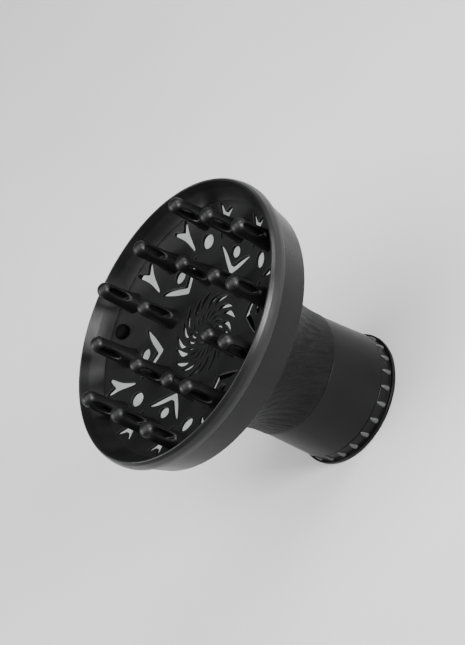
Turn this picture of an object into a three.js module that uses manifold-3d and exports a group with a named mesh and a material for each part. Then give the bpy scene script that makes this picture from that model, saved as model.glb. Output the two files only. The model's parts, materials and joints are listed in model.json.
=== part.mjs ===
// A universal hair-dryer diffuser: a wide bowl with a pierced face and hollow fingers, a trumpet-shaped
// rear shell, and a collar whose grip ring turns to close six jaws on the dryer's barrel.
// Millimetres. +Z runs along the air flow, from the collar's end face (z = 0) to the finger tips.
import * as THREE from 'three';
import { mergeVertices } from 'three/addons/utils/BufferGeometryUtils.js';
import Module from 'manifold-3d';

const wasm = await Module();
wasm.setup();

// ---- driving dimensions -------------------------------------------------------------------------
const SEGMENTS = 36;            // sides of every large turned piece
const GAP = 0.3;                // running gap between neighbouring pieces
const WALL = 2.2;               // rear shell wall

const RIM_RADIUS = 85;
const RIM_TOP = 133.5;
const SEAM_Z = 124.7;           // where the outside of the front rim meets the rear shell
const CLAMP_Z = 121;            // where the rim and shell clamp the edge of the face plate
const BAND_FOOT = 106;          // lower edge of the upright band round the shell

const PLATE_CENTRE_Z = 108.6;   // top of the face plate on the axis
const PLATE_THICKNESS = 2;
const PLATE_RADIUS = 77.4;
const DISH_SQUARE = 0.0014;     // the dish rises by DISH_SQUARE r^2 + DISH_FOURTH r^4
const DISH_FOURTH = 1.33e-7;

const ROSETTE_RADIUS = 27.3;
const ROSETTE_STEP = 1.6;       // how much smaller the rosette is below its step
const VANES = 18;
const HUB_RADIUS = 6.4;

const FINGER_BASE = 6.2;        // half-width of a finger at its foot
const SPIGOT_RADIUS = 4.6;
const AIRWAY_RADIUS = 3.5;
const SLOT_HALF_LENGTH = 6.9;
const SLOT_HALF_WIDTH = 1.8;
const SLOT_BELOW_TIP = 11.9;    // from a finger's tip down to the middle of its slot
const SLOT_TURN = 25;           // degrees that each finger's slot is turned from the X axis
const CUT_LOW = 100;            // cutters through the face run between these two heights
const CUT_HIGH = 130;

const COLLAR_TOP = 45.2;
const COLLAR_INNER = 35;
const COLLAR_FOOT = 9.5;        // lower end of the collar's outside, above the grip ring
const FLANGE_RADIUS = 40;
const GRIP_RADIUS = 38;
const RIBS = 24;
const BORE_RADIUS = 30;         // clear radius through the grip ring

const JAWS = 6;
const JAW_SWING = 25;           // degrees each jaw swings inward
const RING_TURN = 50;           // degrees the grip ring turns to close the jaws
const PIVOT_RADIUS = 32.8;      // distance of the jaw pivots from the axis
const PIN_RADIUS = 0.8;
const PIN_HOLE = 1.15;
const PEG_RADIUS = 0.8;
const PEG_ARM = 4.5;            // distance of a jaw's peg from its pivot
const SCROLL_LOW = 3;
const SCROLL_HIGH = 5;
const JAW_LOW = 5.4;
const JAW_HIGH = 17.4;
const CARRIER_LOW = 17.9;
const CARRIER_HIGH = 20.7;

// ---- finishes -----------------------------------------------------------------------------------
const FINISH = {
  satin: { color: 0x1b1b1d, roughness: 0.45, metalness: 0 },
  plate: { color: 0x232325, roughness: 0.55, metalness: 0 },
  gloss: { color: 0x0c0c0d, roughness: 0.22, metalness: 0 },
  liner: { color: 0xc9c9c6, roughness: 0.5, metalness: 0 },
  carrier: { color: 0x2a2a2c, roughness: 0.6, metalness: 0 },
  rubber: { color: 0x3a3a3c, roughness: 0.85, metalness: 0 },
  steel: { color: 0xb5b8bb, roughness: 0.3, metalness: 1 },
};

const model = new THREE.Group();

// ---- helpers ------------------------------------------------------------------------------------
const radians = THREE.MathUtils.degToRad;

function polar(radius, degrees) {
  return [radius * Math.cos(radians(degrees)), radius * Math.sin(radians(degrees))];
}

// Welds a geometry, drops its zero-area triangles and turns it face out.
function toSolid(geometry) {
  const bare = new THREE.BufferGeometry();
  bare.setAttribute('position', geometry.getAttribute('position').clone());
  if (geometry.index) bare.setIndex(geometry.index.clone());
  const welded = mergeVertices(bare, 1e-4);
  const points = welded.getAttribute('position');
  const corners = [];
  let volume = 0;
  const [a, b, c] = [new THREE.Vector3(), new THREE.Vector3(), new THREE.Vector3()];
  for (let i = 0; i < welded.index.count; i += 3) {
    const face = [welded.index.getX(i), welded.index.getX(i + 1), welded.index.getX(i + 2)];
    if (new Set(face).size < 3) continue;
    corners.push(...face);
    a.fromBufferAttribute(points, face[0]);
    b.fromBufferAttribute(points, face[1]);
    c.fromBufferAttribute(points, face[2]);
    volume += a.dot(b.cross(c));
  }
  if (volume < 0) corners.reverse();
  const mesh = new wasm.Mesh({
    numProp: 3,
    vertProperties: Float32Array.from(points.array),
    triVerts: Uint32Array.from(corners),
  });
  return new wasm.Manifold(mesh);
}

function toGeometry(solid) {
  const mesh = solid.getMesh();
  const geometry = new THREE.BufferGeometry();
  geometry.setAttribute('position', new THREE.BufferAttribute(mesh.vertProperties, 3));
  geometry.setIndex(new THREE.BufferAttribute(mesh.triVerts, 1));
  geometry.computeVertexNormals();
  return geometry;
}

// Turns a closed [radius, height] profile about the Z axis.
function turned(profile, segments = SEGMENTS) {
  const points = profile.map(([r, z]) => new THREE.Vector2(r, z));
  if (profile[0][0] > 0) points.push(points[0].clone());
  return toSolid(new THREE.LatheGeometry(points, segments).rotateX(Math.PI / 2));
}

// Extrudes an [x, y] outline from one height to another.
function prism(outline, low, high) {
  const shape = new THREE.Shape(outline.map(([x, y]) => new THREE.Vector2(x, y)));
  const options = { depth: high - low, bevelEnabled: false };
  return toSolid(new THREE.ExtrudeGeometry(shape, options).translate(0, 0, low));
}

function cylinder(radius, low, high, sides) {
  const geometry = new THREE.CylinderGeometry(radius, radius, high - low, sides);
  return toSolid(geometry.rotateX(Math.PI / 2).translate(0, 0, (low + high) / 2));
}

// Moves an outline out to a radius and turns it to an angle about the axis.
function placed(outline, radius, degrees, spin = 0) {
  const [cx, cy] = polar(radius, degrees);
  const turn = radians(degrees + spin);
  return outline.map(([x, y]) => [
    cx + x * Math.cos(turn) - y * Math.sin(turn),
    cy + x * Math.sin(turn) + y * Math.cos(turn),
  ]);
}

// Joins many cutters into one tool, so that each piece is cut once.
function union(solids) {
  return solids.reduce((sum, solid) => sum.add(solid));
}

function add(name, solid, finish) {
  const mesh = new THREE.Mesh(toGeometry(solid), new THREE.MeshStandardMaterial(FINISH[finish]));
  mesh.name = name;
  model.add(mesh);
}

function plateTop(r) {
  return PLATE_CENTRE_Z + DISH_SQUARE * r ** 2 + DISH_FOURTH * r ** 4;
}

// ---- front rim ----------------------------------------------------------------------------------
function makeFrontRim() {
  const low = CLAMP_Z + GAP;
  add('front_rim', turned([
    [75.5, low],
    [81, low],
    [81, SEAM_Z + GAP],
    [84.6, SEAM_Z + GAP],
    [RIM_RADIUS, 130],
    [84.6, 132.9],
    [83.6, RIM_TOP],
    [82.5, 133.2],
    [81.7, 131.6],
    [80.6, 128],
    [78.7, 124.6],
    [75.5, low + 0.9],
  ]), 'satin');
}

// ---- openings in the face -----------------------------------------------------------------------
function ovalOutline(halfLength, halfWidth, points) {
  return Array.from({ length: points }, (_, i) => {
    const angle = (i * 2 * Math.PI) / points;
    return [halfLength * Math.cos(angle), halfWidth * Math.sin(angle)];
  });
}

// A three-armed star: one stem towards the centre and two arms towards the rim.
function starOutline(armLength, stemLength, tipWidth, waist) {
  const arms = [[40, armLength], [180, stemLength], [320, armLength]];
  return arms.flatMap(([angle, length], i) => {
    const [ux, uy] = polar(1, angle);
    const next = arms[(i + 1) % arms.length][0] + (i === arms.length - 1 ? 360 : 0);
    return [
      [ux * length + uy * tipWidth, uy * length - ux * tipWidth],
      [ux * length - uy * tipWidth, uy * length + ux * tipWidth],
      polar(waist, (angle + next) / 2),
    ];
  });
}

// A bent chevron: its apex points at the centre, and its arms curve out and back.
function chevronOutline(width) {
  const spine = [[13.5, 16.5], [9.5, 12.8], [5.5, 7.4], [0, 0], [5.5, -7.4], [9.5, -12.8], [13.5, -16.5]];
  const taper = [0.15, 0.7, 1, 1, 1, 0.7, 0.15];
  const outer = spine.map(([x, y], i) => [x - (width / 2) * taper[i], y]);
  const inner = spine.map(([x, y], i) => [x + (width / 2) * taper[i], y]);
  return [...outer, ...inner.reverse()];
}

// A slot that swirls backwards as it runs outward, widest towards its outer end.
function swirlOutline(inner, outer, turn, halfWidth, steps) {
  const left = [];
  const right = [];
  for (let i = 0; i <= steps; i += 1) {
    const t = i / steps;
    const half = halfWidth * Math.sin(Math.PI * t ** 1.3) + 0.15;
    const radius = inner + (outer - inner) * t;
    const angle = -turn * t ** 1.4;
    const spread = (half / radius) * (180 / Math.PI);
    left.push(polar(radius, angle + spread));
    right.push(polar(radius, angle - spread));
  }
  return [...left, ...right.reverse()];
}

const STAR_RADIUS = 66.5;
const STAR_LEAN = 14;
const PLUG_ANGLE = 195;
const PLUG_RADIUS = 4.6;

// Slots lean one way and the other by turns; first is the side that the first finger's slot leans to.
const FINGER_RINGS = [
  { name: 'inner_finger', radius: 35.7, height: 23.4, start: 0, first: -1 },
  { name: 'middle_finger', radius: 59.5, height: 27.8, start: 30, first: 1 },
  { name: 'outer_finger', radius: 68.5, height: 25.5, start: 0, first: -1 },
];

function makeFacePlate() {
  const step = ROSETTE_RADIUS + GAP;
  const hole = step - ROSETTE_STEP;
  const radii = [45, 62, 75.6];
  const top = radii.map((r) => [r, plateTop(r)]);
  const bottom = radii.map((r) => [r, plateTop(r) - PLATE_THICKNESS]).reverse();
  const flange = plateTop(75.6);
  const plate = turned([
    [hole, plateTop(step) - 1],
    [step, plateTop(step) - 1],
    [step, plateTop(step)],
    ...top,
    [PLATE_RADIUS, flange],
    [PLATE_RADIUS, flange - PLATE_THICKNESS],
    ...bottom,
    [hole, plateTop(hole) - PLATE_THICKNESS],
  ]);
  const outlines = [];
  for (let i = 0; i < 6; i += 1) {
    const across = 60 * i;
    const between = across + 30;
    outlines.push(placed(chevronOutline(4.2), 37.6, between));
    outlines.push(placed(ovalOutline(3.2, 4.2, 8), 48.6, between));
    outlines.push(placed(ovalOutline(4.1, 4.7, 8), 56.4, across));
    outlines.push(placed(starOutline(8.6, 11, 0.9, 2.6), STAR_RADIUS, across + 45, -STAR_LEAN));
    if (across + 15 !== PLUG_ANGLE) {
      outlines.push(placed(starOutline(8.6, 11, 0.9, 2.6), STAR_RADIUS, across + 15, STAR_LEAN));
    }
  }
  const cutters = outlines.map((outline) => prism(outline, CUT_LOW, CUT_HIGH));
  for (const ring of FINGER_RINGS) {
    for (let i = 0; i < 6; i += 1) {
      const [x, y] = polar(ring.radius, ring.start + 60 * i);
      cutters.push(cylinder(SPIGOT_RADIUS + GAP + 0.05, CUT_LOW, CUT_HIGH, 8).translate(x, y, 0));
    }
  }
  const [px, py] = polar(STAR_RADIUS + 2, PLUG_ANGLE);
  cutters.push(cylinder(PLUG_RADIUS - 1, CUT_LOW, CUT_HIGH, 12).translate(px, py, 0));
  add('face_plate', plate.subtract(union(cutters)), 'plate');
}

function makeRosette() {
  const outer = ROSETTE_RADIUS;
  const low = outer - ROSETTE_STEP;
  const step = ROSETTE_RADIUS + GAP;
  const disc = turned([
    [0, PLATE_CENTRE_Z - PLATE_THICKNESS],
    [low, plateTop(low) - PLATE_THICKNESS],
    [low, plateTop(step) - 1 + GAP],
    [outer, plateTop(step) - 1 + GAP],
    [outer, plateTop(outer)],
    [14, plateTop(14)],
    [HUB_RADIUS, plateTop(HUB_RADIUS)],
    [HUB_RADIUS - 0.8, PLATE_CENTRE_Z + 1.2],
    [2.6, PLATE_CENTRE_Z + 1.5],
    [0, PLATE_CENTRE_Z + 2.4],
  ]);
  const slots = [];
  for (let i = 0; i < VANES; i += 1) {
    const angle = (360 / VANES) * i;
    const shift = i % 2 ? 1.6 : 0;
    slots.push(placed(swirlOutline(8.2, 14.2, 14, 0.45, 2), 0, angle + 6));
    slots.push(placed(swirlOutline(15.4 + shift, 22.6 + shift, 20, 1.25, 3), 0, angle));
  }
  const cutters = slots.map((outline) => prism(outline, CUT_LOW, CUT_HIGH));
  add('rosette_grille', disc.subtract(union(cutters)), 'plate');
}

// A domed plug that closes the one place where the star pattern is left out.
function makePlug() {
  const [x, y] = polar(STAR_RADIUS + 2, PLUG_ANGLE);
  const seat = plateTop(STAR_RADIUS + 2 + PLUG_RADIUS) + GAP;
  const stem = PLUG_RADIUS - 1 - GAP - 0.05;
  const plug = turned([
    [0, seat - 5],
    [stem, seat - 5],
    [stem, seat],
    [PLUG_RADIUS, seat],
    [4.2, seat + 1.6],
    [2.8, seat + 2.9],
    [0, seat + 3.6],
  ], 12);
  add('blanking_plug', plug.translate(x, y, 0), 'gloss');
}

// ---- fingers ------------------------------------------------------------------------------------
function makeFingers() {
  const spigot = cylinder(SPIGOT_RADIUS, -3.4, 2, 8);
  const airway = cylinder(AIRWAY_RADIUS, -6, 7, 6).add(cylinder(SLOT_HALF_WIDTH, 6, 12, 6));
  const slotSide = ovalOutline(SLOT_HALF_LENGTH, SLOT_HALF_WIDTH, 8);
  const slotShape = new THREE.Shape(slotSide.map(([x, y]) => new THREE.Vector2(x, y)));
  const slotBlock = new THREE.ExtrudeGeometry(slotShape, { depth: 20, bevelEnabled: false });
  const slot = toSolid(slotBlock.translate(0, 0, -10).rotateY(Math.PI / 2));
  const under = turned([
    [0, CUT_LOW - 10],
    [75.6, CUT_LOW - 10],
    ...[75.6, 62, 45].map((r) => [r, plateTop(r) + GAP]),
    [0, PLATE_CENTRE_Z + GAP],
  ]);
  for (const ring of FINGER_RINGS) {
    const tip = ring.height;
    const body = turned([
      [0, -4],
      [FINGER_BASE, -4],
      [FINGER_BASE, 0.6],
      [5.3, 11],
      [4.7, tip - 5.5],
      [3.7, tip - 2.4],
      [1.9, tip - 0.6],
      [0, tip],
    ], 8);
    for (let i = 0; i < 6; i += 1) {
      const angle = ring.start + 60 * i;
      const [x, y] = polar(ring.radius, angle);
      const lift = plateTop(ring.radius);
      const heading = ring.first * (i % 2 ? -SLOT_TURN : SLOT_TURN);
      const shell = body.translate(x, y, lift).subtract(under).add(spigot.translate(x, y, lift));
      const cut = slot.rotate(0, 0, heading).translate(0, 0, tip - SLOT_BELOW_TIP);
      add(`${ring.name}_${i + 1}`, shell.subtract(airway.add(cut).translate(x, y, lift)), 'gloss');
    }
  }
}

// ---- rear shell and liner -----------------------------------------------------------------------
const BELL = new THREE.CubicBezierCurve(
  new THREE.Vector2(37.4, 45.6),
  new THREE.Vector2(37, 72),
  new THREE.Vector2(46, 86),
  new THREE.Vector2(77.6, BAND_FOOT - 0.8),
);

// Points of the bell curve, moved in towards the air by a distance.
function bellPoints(inward, start, steps) {
  return Array.from({ length: steps + 1 }, (_, i) => {
    const t = start + ((1 - start) * i) / steps;
    const point = BELL.getPoint(t);
    const along = BELL.getTangent(t);
    return [point.x - inward * along.y, point.y + inward * along.x];
  });
}

function makeRearShell() {
  add('rear_shell', turned([
    ...bellPoints(0, 0, 6),
    [78.6, BAND_FOOT],
    [83.6, SEAM_Z],
    [81.4, SEAM_Z],
    [81.4, CLAMP_Z],
    [77.8, CLAMP_Z],
    [77.8, 118.5],
    [75.6, 118.5],
    [75.6, 117],
    [77.2, 115.6],
    ...bellPoints(WALL, 0.22, 4).reverse(),
    [31.5, 51],
    [31.5, 36],
    [33.6, 36],
    [33.6, 45.6],
  ]), 'satin');
}

function makeLiner() {
  const outer = WALL + 0.5;
  add('inner_liner', turned([
    ...bellPoints(outer, 0.3, 4),
    [75, 116.9],
    [73.8, 116.9],
    ...bellPoints(outer + 1.2, 0.3, 4).reverse(),
  ]), 'liner');
}

// ---- collar -------------------------------------------------------------------------------------
function makeCollar() {
  add('collar_sleeve', turned([
    [COLLAR_INNER, 5.9],
    [36, 5.9],
    [36.7, 6.5],
    [36.7, 7.3],
    [36, 8],
    [36, COLLAR_FOOT],
    [38.3, COLLAR_FOOT],
    [37.6, 26],
    [37, COLLAR_TOP],
    [34, COLLAR_TOP],
    [34, 21],
    [COLLAR_INNER, 21],
  ]), 'satin');
}

function makeJawCarrier() {
  const ring = turned([
    [BORE_RADIUS, CARRIER_LOW],
    [COLLAR_INNER - GAP, CARRIER_LOW],
    [COLLAR_INNER - GAP, CARRIER_HIGH],
    [BORE_RADIUS, CARRIER_HIGH],
  ]);
  const holes = [];
  for (let i = 0; i < JAWS; i += 1) {
    const [x, y] = polar(PIVOT_RADIUS, 60 * i);
    holes.push(cylinder(PIN_HOLE, CARRIER_LOW - 1, CARRIER_HIGH + 1, 8).translate(x, y, 0));
  }
  add('jaw_carrier', ring.subtract(union(holes)), 'carrier');
}

// Where a jaw's peg stands when the jaw has swung in by an angle.
const PEG_START = new THREE.Vector2(PIVOT_RADIUS + 0.3, PEG_ARM);

function pegPlace(swing) {
  const pivot = new THREE.Vector2(PIVOT_RADIUS, 0);
  return PEG_START.clone().rotateAround(pivot, radians(swing));
}

// The scroll slot that drives one peg: the peg's path as the turning ring sees it, widened all round.
function scrollOutline() {
  const half = PEG_RADIUS + 0.35;
  const steps = 8;
  const path = Array.from({ length: steps + 1 }, (_, i) => {
    const t = i / steps;
    return pegPlace(JAW_SWING * t).rotateAround(new THREE.Vector2(), radians(-RING_TURN * t));
  });
  const outer = path.map((p) => [p.x * (1 + half / p.length()), p.y * (1 + half / p.length())]);
  const inner = path.map((p) => [p.x * (1 - half / p.length()), p.y * (1 - half / p.length())]);
  const first = path[0].clone().rotateAround(new THREE.Vector2(), half / path[0].length());
  const last = path[steps].clone().rotateAround(new THREE.Vector2(), -half / path[steps].length());
  return [...outer, [last.x, last.y], ...inner.reverse(), [first.x, first.y]];
}

function makeGripRing() {
  const ring = turned([
    [BORE_RADIUS + 2.6, 0],
    [FLANGE_RADIUS - 0.5, 0],
    [FLANGE_RADIUS, 0.6],
    [FLANGE_RADIUS, 1.7],
    [FLANGE_RADIUS - 0.5, 2.2],
    [GRIP_RADIUS, 2.2],
    [GRIP_RADIUS, 9.1],
    [36.4, 9.1],
    [36.4, 8.4],
    [37.1, 7.7],
    [37.1, 6],
    [36.4, SCROLL_HIGH],
    [BORE_RADIUS, SCROLL_HIGH],
    [BORE_RADIUS, SCROLL_LOW],
    [BORE_RADIUS + 1, SCROLL_LOW - 1],
  ]);
  const rib = prism([[-0.7, -0.9], [0.9, -0.6], [0.9, 0.6], [-0.7, 0.9]], 2, 8.6);
  const ribs = Array.from({ length: RIBS }, (_, i) => (
    rib.translate(GRIP_RADIUS, 0, 0).rotate(0, 0, (360 / RIBS) * (i + 0.5))
  ));
  const scroll = prism(scrollOutline(), SCROLL_LOW - 1, SCROLL_HIGH + 1);
  const slots = Array.from({ length: JAWS }, (_, i) => scroll.rotate(0, 0, 60 * i));
  add('grip_ring', ring.add(union(ribs)).subtract(union(slots)), 'satin');
}

// ---- jaws ---------------------------------------------------------------------------------------
function arcPoints(radius, from, to, steps) {
  return Array.from({ length: steps + 1 }, (_, i) => polar(radius, from + ((to - from) * i) / steps));
}

function makeJaws() {
  const arm = prism([
    ...arcPoints(34.3, -2.6, 42, 6),
    ...arcPoints(31.3, 43, -2.6, 6),
    [PIVOT_RADIUS, -2.1],
  ], JAW_LOW, JAW_HIGH);
  const start = pegPlace(0);
  const peg = cylinder(PEG_RADIUS, SCROLL_LOW + 0.4, JAW_LOW + 2, 8).translate(start.x, start.y, 0);
  const hole = cylinder(PIN_HOLE, 0, 30, 8).translate(PIVOT_RADIUS, 0, 0);
  const jaw = arm.add(peg).subtract(hole);
  const pad = prism([
    ...arcPoints(31, 24, 42, 4),
    ...arcPoints(30.1, 42, 24, 4),
  ], JAW_LOW + 1, JAW_HIGH - 1);
  const pin = turned([
    [0, JAW_LOW + 0.3],
    [PIN_RADIUS - 0.2, JAW_LOW + 0.3],
    [PIN_RADIUS, JAW_LOW + 0.6],
    [PIN_RADIUS, CARRIER_HIGH - 0.2],
    [0, CARRIER_HIGH - 0.2],
  ], 8).translate(PIVOT_RADIUS, 0, 0);
  for (let i = 0; i < JAWS; i += 1) {
    const angle = (360 / JAWS) * i;
    add(`jaw_${i + 1}`, jaw.rotate(0, 0, angle), 'carrier');
    add(`jaw_pad_${i + 1}`, pad.rotate(0, 0, angle), 'rubber');
    add(`jaw_pin_${i + 1}`, pin.rotate(0, 0, angle), 'steel');
  }
}

makeFrontRim();
makeFacePlate();
makeRosette();
makePlug();
makeFingers();
makeRearShell();
makeLiner();
makeCollar();
makeJawCarrier();
makeGripRing();
makeJaws();

export default model;
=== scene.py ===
"""Looks of a hair-dryer diffuser.

A pierced bowl carries hollow slotted fingers on a fluted horn. The collar behind it ends in a knurled ring
that turns to close six jaws. Shapes are written in millimetres in the CAD frame and made in metres.
"""

import json
import math

import bmesh
import bpy
import numpy as np
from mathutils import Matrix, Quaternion, Vector
from mathutils.geometry import delaunay_2d_cdt


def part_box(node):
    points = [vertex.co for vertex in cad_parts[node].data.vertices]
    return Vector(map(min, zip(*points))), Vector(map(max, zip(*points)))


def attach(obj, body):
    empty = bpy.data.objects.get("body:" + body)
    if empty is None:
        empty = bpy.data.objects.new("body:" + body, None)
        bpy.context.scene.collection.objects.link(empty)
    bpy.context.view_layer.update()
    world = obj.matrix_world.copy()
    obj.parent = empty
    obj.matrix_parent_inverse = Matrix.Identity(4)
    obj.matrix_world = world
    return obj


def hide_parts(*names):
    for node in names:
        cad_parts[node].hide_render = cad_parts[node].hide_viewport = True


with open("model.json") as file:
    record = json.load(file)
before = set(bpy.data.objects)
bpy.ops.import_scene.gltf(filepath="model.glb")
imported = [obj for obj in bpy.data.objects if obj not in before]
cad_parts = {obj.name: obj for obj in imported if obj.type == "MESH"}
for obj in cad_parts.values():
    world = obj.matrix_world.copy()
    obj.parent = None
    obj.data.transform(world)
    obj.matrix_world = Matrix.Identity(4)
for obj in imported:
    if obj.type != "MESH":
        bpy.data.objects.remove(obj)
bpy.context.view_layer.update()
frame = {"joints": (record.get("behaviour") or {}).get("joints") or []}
MM = 0.001


# ---- sizes read from the frame ------------------------------------------------------------------
def radius_of(node):
    """How far a round CAD node reaches from the axis, in millimetres."""
    return round(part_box(node)[1].x / MM, 1)


def heights_of(node):
    """A CAD node's lowest and highest level, in millimetres."""
    low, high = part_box(node)
    return round(low.z / MM, 1), round(high.z / MM, 1)


JOINTS = {joint["name"]: joint for joint in frame["joints"]}
RING_TURN = JOINTS["ring_turn"]["range_deg"][1]
JAW_SWING = JOINTS["jaw_swing_1"]["range_deg"][1]
PIVOT_RADIUS = round(JOINTS["jaw_swing_1"]["pos_m"][0] / MM, 1)
RIM_RADIUS = radius_of("front_rim")
SEAM = heights_of("rear_shell")[1]  # level of the shell's joint with the rim
LINER_TOP = heights_of("inner_liner")[1]
ROSETTE_RADIUS = radius_of("rosette_grille")
SLEEVE_RADIUS = radius_of("collar_sleeve")
SLEEVE_LOW, SLEEVE_TOP = heights_of("collar_sleeve")
FLANGE_RADIUS = radius_of("grip_ring")
GRIP_TOP = heights_of("grip_ring")[1]
CARRIER_RADIUS = radius_of("jaw_carrier")
CARRIER_LOW, CARRIER_TOP = heights_of("jaw_carrier")
PEG_LOW, JAW_TOP = heights_of("jaw_1")
PAD_LOW, PAD_TOP = heights_of("jaw_pad_1")
PIN_LOW, PIN_TOP = heights_of("jaw_pin_1")

# ---- sizes that repeat the CAD's ----------------------------------------------------------------
SECTORS = 6  # the face, the fingers and the jaws repeat six times round the axis
SECTOR = 60  # degrees
PLATE_CENTRE, PLATE_THICKNESS = 108.6, 2.0
DISH_SQUARE, DISH_FOURTH = 0.0014, 1.33e-7
DISH_END = 75.6  # the dish is flat from here outward
PLATE_RADIUS, PLATE_HOLE = 77.2, 27.36
VANES = 18
STAR_RADIUS, STAR_LEAN = 66.5, 14
CHEVRON_RADIUS = 37.6
INNER_OVAL_RADIUS, OUTER_OVAL_RADIUS = 48.8, 56.4
PLUG_ANGLE, PLUG_RADIUS, PLUG_PLACE = 195, 4.6, 68.5
FINGER_RINGS = [  # name, radius, height, first angle, side that the first slot leans to
    ("inner_finger", 35.7, 23.4, 0, -1),
    ("middle_finger", 59.5, 27.8, 30, 1),
    ("outer_finger", 68.5, 25.5, 0, -1),
]
SLOT_TURN = 25
SLOT_BELOW_TIP, SLOT_HALF_LENGTH, SLOT_HALF_WIDTH = 11.9, 6.9, 1.8
BAND_FOOT, CLAMP = 106, 121  # levels of the shell's upright band and of the ledge that holds the plate
WALL = 2.2
BELL = np.array([(37.4, 45.6), (37, 72), (46, 86), (77.6, BAND_FOOT - 0.8)])
SLEEVE_FOOT = 9.5  # lower end of the sleeve's smooth outside
GRIP_RADIUS = 38
BORE_RADIUS = 30
RIBS = 24
PIN_RADIUS, PIN_HOLE = 0.8, 1.15
PEG_RADIUS, PEG_ARM = 0.8, 4.5
SCROLL_HALF_WIDTH = 1.15
JAW_LOW = 5.4

# ---- sizes of the looks alone -------------------------------------------------------------------
AROUND = 240  # sides of a large turned piece
FLUTES, FLUTE_DEPTH = 54, 0.16
FLUTES_LOW, FLUTES_HIGH = 47, BAND_FOOT - 4
RIM_BORE = 75.4  # inner edge of the rim, where it meets the dished plate
SEAM_GAP = 0.35
OPENING_STEP = 0.5  # spacing of the points round an opening


# ---- mesh helpers -------------------------------------------------------------------------------
# A part is a pair: an array of points and a list of faces.
def polar(radius, degrees):
    angle = math.radians(degrees)
    return np.array([radius * math.cos(angle), radius * math.sin(angle)])


def turn_2d(points, degrees):
    c, s = math.cos(math.radians(degrees)), math.sin(math.radians(degrees))
    return np.asarray(points, float) @ np.array([[c, s], [-s, c]])


def turn_3d(points, degrees):
    out = np.array(points, float)
    out[:, :2] = turn_2d(out[:, :2], degrees)
    return out


def spun(part, degrees):
    """The same part turned about the axis."""
    points, faces = part
    return turn_3d(points, degrees), faces


def moved(part, x, y, z=0):
    """The same part in another place."""
    points, faces = part
    return points + np.array([x, y, z]), faces


def join(parts):
    """One part from several."""
    points, faces, start = [], [], 0
    for p, f in parts:
        points.append(np.asarray(p, float))
        faces += [tuple(i + start for i in face) for face in f]
        start += len(p)
    return np.concatenate(points), faces


def quads(rows, across, closed=False):
    """Faces between rows of points that each make a ring. closed joins the last row to the first."""
    faces = []
    for i in range(rows if closed else rows - 1):
        here, there = i * across, (i + 1) % rows * across
        for j in range(across):
            k = (j + 1) % across
            faces.append((here + j, here + k, there + k, there + j))
    return faces


def piece(name, part, finishes, body, stands_for, which=None):
    """Makes a smooth-shaded object that rides on a body and stands for CAD nodes.
    which gives the number of each face's finish in the list of finishes."""
    points, faces = part
    mesh = bpy.data.meshes.new(name)
    mesh.from_pydata((np.asarray(points) * MM).tolist(), [], faces)
    bm = bmesh.new()
    bm.from_mesh(mesh)
    bmesh.ops.remove_doubles(bm, verts=bm.verts, dist=1e-7)
    bmesh.ops.recalc_face_normals(bm, faces=bm.faces)
    bm.to_mesh(mesh)
    bm.free()
    mesh.shade_smooth()
    obj = bpy.data.objects.new(name, mesh)
    bpy.context.scene.collection.objects.link(obj)
    for finish in finishes:
        mesh.materials.append(finish)
    if which:
        for poly in mesh.polygons:
            poly.material_index = which(poly)
    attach(obj, body)
    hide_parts(*stands_for)


def radius_and_height(poly):
    """Where a face's centre is, in millimetres from the axis and from the foot."""
    x, y, z = poly.center / MM
    return math.hypot(x, y), z


# ---- outlines -----------------------------------------------------------------------------------
def rounded(corners, radius=0.3, steps=4, support=0.12):
    """Rounds the corners of a closed outline. A corner is [x, y] or [x, y, its own radius].
    An arc takes at most most_cut of an edge, and has a supporting point beside it where there is room."""
    most_cut, most_used, nearly_straight = 0.42, 0.46, math.radians(85)
    out = []
    for i, corner in enumerate(corners):
        at = np.array(corner[:2], float)
        r = corner[2] if len(corner) > 2 else radius
        back = np.array(corners[i - 1][:2], float) - at
        on = np.array(corners[(i + 1) % len(corners)][:2], float) - at
        reach_back, reach_on = np.linalg.norm(back), np.linalg.norm(on)
        back, on = back / reach_back, on / reach_on
        half = math.acos(max(-1.0, min(1.0, float(back @ on)))) / 2
        if r <= 0 or half > nearly_straight:
            out.append(at)
            continue
        cut = min(r / math.tan(half), most_cut * reach_back, most_cut * reach_on)
        r = cut * math.tan(half)
        middle = at + (back + on) / np.linalg.norm(back + on) * r / math.sin(half)
        a, b = at + back * cut - middle, at + on * cut - middle
        first = math.atan2(a[1], a[0])
        sweep = math.atan2(a[0] * b[1] - a[1] * b[0], float(a @ b))
        if cut + support < most_used * reach_back:
            out.append(at + back * (cut + support))
        for k in range(steps + 1):
            angle = first + sweep * k / steps
            out.append(middle + r * np.array([math.cos(angle), math.sin(angle)]))
        if cut + support < most_used * reach_on:
            out.append(at + on * (cut + support))
    return out


def softened(points, rounds=3):
    """Cuts the corners of a closed outline until it's smooth."""
    points = np.asarray(points, float)
    for _ in range(rounds):
        on = np.roll(points, -1, 0)
        points = np.stack([points * 0.75 + on * 0.25, points * 0.25 + on * 0.75], 1).reshape(-1, 2)
    return points


def evenly(points, spacing):
    """The same closed outline with points at an even spacing."""
    points = np.vstack([points, points[:1]])
    along = np.concatenate([[0], np.cumsum(np.linalg.norm(np.diff(points, axis=0), axis=1))])
    at = np.linspace(0, along[-1], max(8, round(along[-1] / spacing)), endpoint=False)
    return np.stack([np.interp(at, along, points[:, k]) for k in (0, 1)], 1)


def circle(radius, spacing, centre=(0, 0)):
    count = max(12, round(2 * math.pi * radius / spacing))
    angles = np.arange(count) * 2 * math.pi / count
    return np.stack([np.cos(angles), np.sin(angles)], 1) * radius + np.asarray(centre, float)


def arc(radius, first, last, steps):
    return [polar(radius, a) for a in np.linspace(first, last, steps + 1)]


def anticlockwise(loop):
    on = np.roll(loop, -1, 0)
    area = np.sum(loop[:, 0] * on[:, 1] - loop[:, 1] * on[:, 0])
    return loop if area > 0 else loop[::-1]


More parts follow.
